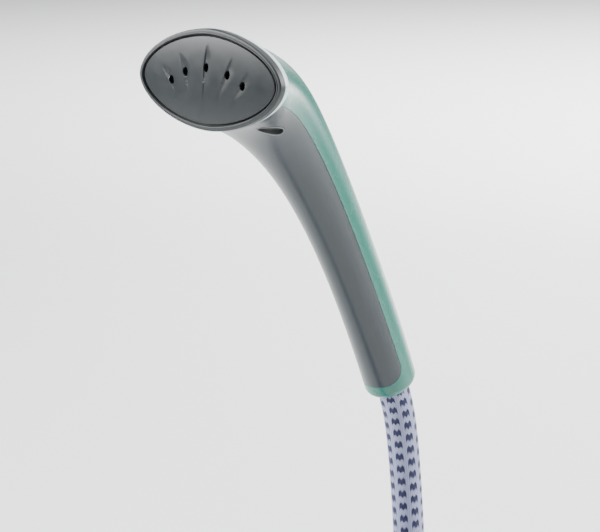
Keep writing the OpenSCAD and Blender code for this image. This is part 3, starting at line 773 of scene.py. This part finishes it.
def makeHose():
    path, total = evenPath(hosePath(), hose["step"])
    frames = []
    side = Vector((1.0, 0.0, 0.0))
    for k, point in enumerate(path):
        ahead = (path[min(k + 1, len(path) - 1)] - path[max(k - 1, 0)]).normalized()
        side = (side - ahead * side.dot(ahead)).normalized()
        frames.append((point, side, ahead.cross(side)))

    def hosePoint(i, j):
        point, side, up = frames[j]
        t = math.tau * i / hose["around"]
        return (point + side * hose["round"] * math.cos(t) + up * hose["round"] * math.sin(t)) * mm

    bm = bmesh.new()
    drapeGrid(bm, hose["around"], len(path) - 1, hosePoint)
    # the pattern's place, before the seam is closed
    layer = bm.loops.layers.uv.new("along")
    bm.verts.index_update()
    wide = hose["around"] + 1
    placeOf = {v.index: (v.index % wide, v.index // wide) for v in bm.verts}
    for face in bm.faces:
        for loop in face.loops:
            i, j = placeOf[loop.vert.index]
            loop[layer].uv = (i / hose["around"], total * mm * j / (len(path) - 1))
    closeUp(bm)
    bmesh.ops.holes_fill(bm, edges=[e for e in bm.edges if e.is_boundary], sides=0)
    turnOut(bm)
    piece = finishPiece("steamHose", bm, "sleeve", "hose_sleeve", replaced=("steam_hose", "hose_coil"))
    return piece, [p * mm for p in path], total * mm


# bands round the coil's strands: each a rounded loop in X and Y, with a lapped end
tie = {"thick": 1.5, "high": 18.0, "clear": 0.55, "cornerCells": 8, "lap": (13.0, 1.0, 15.0),
       "lapSunk": 0.35}


def makeTies():
    bm = bmesh.new()
    thick, high, cells = tie["thick"], tie["high"], tie["cornerCells"]
    grow = hose["round"] + tie["clear"]
    for wide, side in ((hose["pitch"], 1), (hose["side"], -1)):
        y = coilMiddle.y + side * hose["coil"]
        loop = [(cx, math.radians(-90 + 90 * corner + 90 * k / cells))
                for corner, cx in enumerate((wide, wide, 0.0, 0.0)) for k in range(cells + 1)]
        profile = [(0.0, -high / 2 + 0.5), (0.0, high / 2 - 0.5), (0.35, high / 2), (thick - 0.35, high / 2),
                   (thick, high / 2 - 0.5), (thick, -high / 2 + 0.5), (thick - 0.35, -high / 2),
                   (0.35, -high / 2)]

        def bandPoint(i, j):
            cx, t = loop[i % len(loop)]
            out, z = profile[j % len(profile)]
            return Vector((cx + (grow + out) * math.cos(t), y + (grow + out) * math.sin(t),
                           coilMiddle.z + z)) * mm

        drapeGrid(bm, len(loop), len(profile), bandPoint)
        lap = bmesh.ops.create_cube(bm, size=1.0)["verts"]
        bmesh.ops.scale(bm, vec=Vector(tie["lap"]) * mm, verts=lap)
        lapAt = Vector((wide / 2, y + side * (grow + thick - tie["lapSunk"]), coilMiddle.z))
        bmesh.ops.translate(bm, vec=lapAt * mm, verts=lap)
    closeUp(bm)
    turnOut(bm)
    piece = finishPiece("hoseTies", bm, "tie", "tie_rubber", replaced=("hose_ties",))
    addBevel(piece, 0.3 * mm, 2, 60)
    settle(piece)
    return piece


# the connector stands on the hose's end: profiles of (radius, height above the cuff's foot)
connector = {
    "cuff": [(3.2, 0.0), (11.6, 0.0), (12.1, 0.3), (12.35, 0.9), (13.0, 6.0), (12.7, 6.5), (12.7, 7.5),
             (13.2, 8.0), (13.6, 11.0), (13.3, 11.5), (13.3, 12.5), (13.8, 13.0), (14.25, 16.0),
             (13.95, 16.5), (13.95, 17.5), (14.4, 18.0), (15.1, 23.5), (15.45, 25.5), (15.5, 32.6),
             (15.2, 33.6), (14.5, 34.0), (9.1, 34.0), (9.1, 28.0), (3.2, 28.0)],
    "body": [(3.5, 28.2), (9.0, 28.2), (9.0, 34.05), (12.5, 34.05), (13.0, 34.5), (13.0, 38.5),
             (12.6, 39.0), (11.0, 39.0), (11.0, 47.6), (10.0, 47.6), (10.0, 49.3), (11.0, 49.3),
             (11.0, 59.4), (10.4, 60.0), (7.3, 60.0), (7.0, 60.3), (7.0, 64.0), (5.8, 64.0),
             (5.8, 66.0), (7.0, 66.0), (7.0, 71.0), (5.8, 71.0), (5.8, 73.0), (7.0, 73.0),
             (7.0, 79.2), (6.4, 80.0), (4.1, 80.0), (3.5, 79.4)],
    # an o-ring and the collar, above their own feet
    "ring": [(5.82, 0.05), (6.5, 0.05), (6.85, 0.35), (6.97, 1.0), (6.85, 1.65), (6.5, 1.95), (5.82, 1.95)],
    "ringFeet": (64.0, 71.0),
    "collar": [(11.3, 0.0), (15.5, 0.0), (16.2, 0.3), (16.5, 1.0), (16.5, 18.8), (16.2, 19.6), (15.7, 20.0),
               (15.0, 20.0), (14.5, 19.5), (14.5, 8.0), (11.3, 8.0)],
    "collarFoot": 39.3, "collarSteps": 72,
    "ribs": 18, "rib": (1.55, 2.2, 16.0), "ribOut": 16.7, "ribUp": 10.0, "ribEdge": 0.45,
    "lugs": 2, "lug": (1.7, 3.9, 2.9), "lugOut": 13.9, "lugUp": 16.5,
}


def spinPiece(name, profiles, finish, slotName, node):
    bm = bmesh.new()
    for foot, profile in profiles:
        spinProfile(bm, [(r, z + foot) for r, z in profile], farEnd)
    turnOut(bm)
    return finishPiece(name, bm, finish, slotName, replaced=(node,))


# a small block on the collar, number k of count round it
def addBlock(bm, size, out, up, k, count, edge=0.0):
    block = bmesh.ops.create_cube(bm, size=1.0)["verts"]
    bmesh.ops.scale(bm, vec=Vector(size) * mm, verts=block)
    if edge:
        edges = list({e for v in block for e in v.link_edges})
        made = bmesh.ops.bevel(bm, geom=edges, offset=edge * mm, affect="EDGES", segments=2, profile=0.5,
                               material=-1)
        block = list({v for f in made["faces"] for v in f.verts} | {v for v in block if v.is_valid})
    bmesh.ops.translate(bm, vec=Vector((out, 0.0, connector["collarFoot"] + up)) * mm, verts=block)
    bmesh.ops.rotate(bm, cent=(0, 0, 0), matrix=Matrix.Rotation(math.tau * k / count, 3, "Z"), verts=block)
    bmesh.ops.translate(bm, vec=farEnd, verts=block)


def makeConnector():
    cuff = spinPiece("connectorCuff", [(0.0, connector["cuff"])], "cuff", "cuff_rubber", "connector_cuff")
    body = spinPiece("connectorBody", [(0.0, connector["body"])], "grey", "dark_plastic", "connector_body")
    rings = spinPiece("spigotRings", [(foot, connector["ring"]) for foot in connector["ringFeet"]],
                      "rubber", "seal_black", "spigot_rings")
    bm = bmesh.new()
    foot = connector["collarFoot"]
    spinProfile(bm, [(r, z + foot) for r, z in connector["collar"]], farEnd, connector["collarSteps"])
    for k in range(connector["ribs"]):
        addBlock(bm, connector["rib"], connector["ribOut"], connector["ribUp"], k, connector["ribs"],
                 connector["ribEdge"])
    for k in range(connector["lugs"]):
        addBlock(bm, connector["lug"], connector["lugOut"], connector["lugUp"], k, connector["lugs"])
    turnOut(bm)
    collar = finishPiece("lockCollar", bm, "collar", "collar_pale", "lock", ("lock_collar",))
    return [cuff, body, rings, collar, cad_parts["collar_clip"]]


hosePiece, hoseLine, hoseLength = makeHose()
tiePiece = makeTies()
connectorPieces = makeConnector()
print("steamer: hose made,", round(hoseLength, 3), "m")

makeSlotPocket()
makeFrontShell()
makeRearShell()
makeBackStrip()
print("steamer: shells made")
makeHead()
print("steamer: head made")


# inner parts keep their CAD shapes
innerFinish = {
    "steam_chamber": "cast", "chamber_gasket": "silicone", "splash_baffle": "steel",
    "chamber_screws": "steel", "shell_screws": "steel", "steam_tube": "tube",
    "tube_clip_upper": "dark", "tube_clip_lower": "dark", "hose_nipple": "brass",
    "hose_anchor": "dark", "collar_clip": "steel",
}
for node, key in innerFinish.items():
    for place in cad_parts[node].material_slots:
        place.material = finishes[key]


# floor, light and air
studio = {
    "floor": (0.86, 0.87, 0.87), "floorSize": 60.0, "floorBelow": 0.004,
    "air": (0.93, 0.96, 1.0), "airStrength": 0.20, "aim": (0.0, -0.05, 0.02),
    # name, place, what it points at (the aim above, if None), size, watts
    "lights": [("softLeft", (-1.40, -1.45, 0.90), None, (1.2, 1.1), 112.0),
               ("softRight", (1.30, 1.20, 0.85), None, (0.6, 1.4), 90.0),
               ("softTop", (0.1, 0.3, 1.8), None, (1.4, 1.2), 24.0),
               ("softBack", (-0.5, 1.7, 0.9), None, (1.6, 1.2), 24.0),
               ("floorWash", (-1.2, 5.0, 2.6), (-3.5, 6.0, -0.5), (5.0, 5.0), 1100.0)],
}


def makeFloor():
    bm = bmesh.new()
    bmesh.ops.create_grid(bm, x_segments=1, y_segments=1, size=studio["floorSize"])
    bmesh.ops.translate(bm, vec=(0.0, 0.0, cadBox[0][2] - studio["floorBelow"]), verts=bm.verts)
    mesh = bpy.data.meshes.new("floor")
    bm.to_mesh(mesh)
    bm.free()
    floor = bpy.data.objects.new("floor", mesh)
    bpy.context.scene.collection.objects.link(floor)
    mat, tree, shader, where = startMaterial("pale_floor")
    shader.inputs["Base Color"].default_value = (*studio["floor"], 1.0)
    shader.inputs["Roughness"].default_value = 0.9
    mesh.materials.append(mat)


def makeLight(name, place, aim, size, power):
    data = bpy.data.lights.new(name, "AREA")
    data.shape = "RECTANGLE"
    data.size, data.size_y, data.energy = size[0], size[1], power
    light = bpy.data.objects.new(name, data)
    bpy.context.scene.collection.objects.link(light)
    light.location = place
    light.rotation_euler = (Vector(aim) - Vector(place)).to_track_quat("-Z", "Y").to_euler()


makeFloor()
for name, place, aim, size, power in studio["lights"]:
    makeLight(name, place, aim or studio["aim"], size, power)

world = bpy.data.worlds.new("studio")
bpy.context.scene.world = world
world.use_nodes = True
air = world.node_tree.nodes["Background"]
air.inputs["Color"].default_value = (*studio["air"], 1.0)
air.inputs["Strength"].default_value = studio["airStrength"]
print("steamer: studio made")
